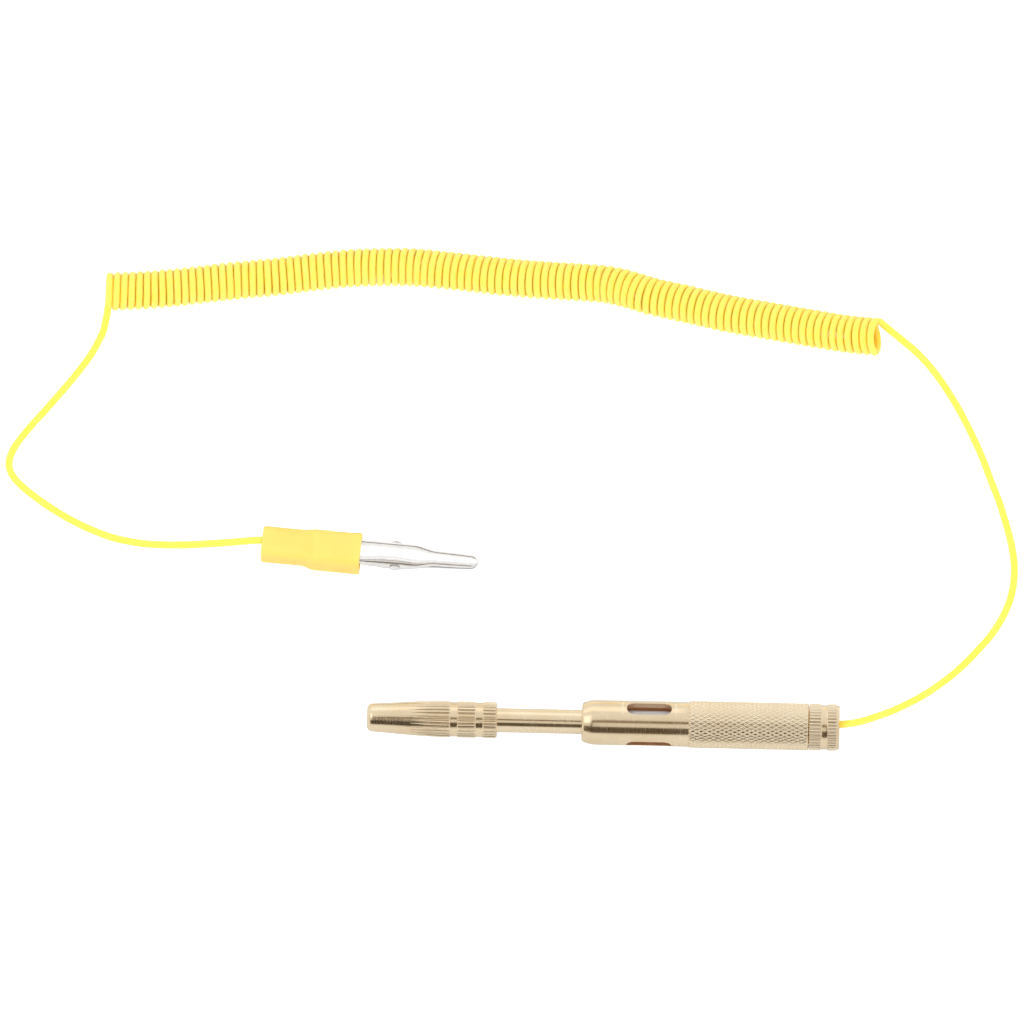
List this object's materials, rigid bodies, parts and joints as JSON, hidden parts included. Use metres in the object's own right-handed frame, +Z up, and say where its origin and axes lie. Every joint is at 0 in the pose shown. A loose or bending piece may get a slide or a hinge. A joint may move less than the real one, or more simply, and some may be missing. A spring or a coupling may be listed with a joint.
{
  "type": "circuit test light",
  "caption": "Turned brass circuit test light with a screw-on tip cap, windowed lamp handle, coiled yellow lead and a crocodile clip.",
  "frame": {"origin": "under the middle of the brass tester, on the surface it lies on", "axes": "+X along the tester from its tip cap to its lead, +Y across the surface towards the lead and clip, +Z up"},
  "size_m": [0.276, 0.1474, 0.0127],
  "materials": {
    "brass_turned": "bright turned and knurled brass, lacquered",
    "brass_contact": "plain bright brass",
    "lamp_cap_metal": "thin tinned brass, satin",
    "needle_steel": "ground hardened steel",
    "spring_steel": "drawn wire, bright",
    "clear_glass": "clear lamp glass",
    "tungsten": "dark drawn wire",
    "insulating_card": "pale insulating tube",
    "brown_fibre": "brown vulcanised fibre",
    "copper_strand": "stranded copper with solder",
    "yellow_vinyl": "smooth yellow vinyl insulation",
    "boot_vinyl": "soft pale yellow vinyl, dipped",
    "nickel_plate": "bright nickel plated pressed steel"
  },
  "bodies": {
    "tester": {"handle_body": "brass_turned", "probe_rod": "brass_turned", "probe_needle": "needle_steel", "lamp_glass": "clear_glass", "lamp_front_cap": "lamp_cap_metal", "lamp_rear_cap": "lamp_cap_metal", "lamp_filament": "tungsten", "lamp_supports": "tungsten", "insulating_sleeve": "insulating_card", "contact_spring": "spring_steel", "lead_terminal": "brass_contact", "lead_core": "copper_strand", "lead_inside": "yellow_vinyl", "cord_handle_side": "yellow_vinyl", "cord_coil": "yellow_vinyl", "cord_clip_side": "yellow_vinyl", "clip_boot": "boot_vinyl", "clip_lower_jaw": "nickel_plate", "clip_rivet": "nickel_plate", "clip_spring": "spring_steel", "clip_lead_core": "copper_strand"},
    "tip_cap": {"tip_cap": "brass_turned"},
    "plunger": {"contact_plunger": "brass_contact"},
    "cap_carrier": {"insulator_bush": "brown_fibre"},
    "end_cap": {"end_cap": "brass_turned"},
    "upper_jaw": {"clip_upper_jaw": "nickel_plate"}
  },
  "joints": [
    {"name": "tip_cap_pull", "type": "slide", "parent": "tester", "child": "tip_cap", "axis": [-1, 0, 0], "range_m": [0, 0.036]},
    {"name": "contact_plunger_slide", "type": "slide", "parent": "tester", "child": "plunger", "axis": [1, 0, 0], "range_m": [0, 0.002], "stiffness_N_per_m": 300, "springref_m": -0.0006, "deforming": ["contact_spring"]},
    {"name": "end_cap_travel", "type": "slide", "parent": "tester", "child": "cap_carrier", "axis": [1, 0, 0], "range_m": [0, 0.003]},
    {"name": "end_cap_turn", "type": "hinge", "parent": "cap_carrier", "child": "end_cap", "pos_m": [0.06, 0, 0.00635], "axis": [1, 0, 0], "range_deg": [0, 1440]},
    {"name": "clip_jaw_hinge", "type": "hinge", "parent": "tester", "child": "upper_jaw", "pos_m": [-0.05756, 0.04926, 0.00435], "axis": [-0.0558, -0.9984, 0], "range_deg": [0, 16], "stiffness_Nm_per_rad": 0.12, "springref_deg": -28.65, "deforming": ["clip_spring"]}
  ],
  "couplings": [
    {"joint": "end_cap_turn", "follows": "end_cap_travel", "rad_per_m": 8377.6}
  ]
}
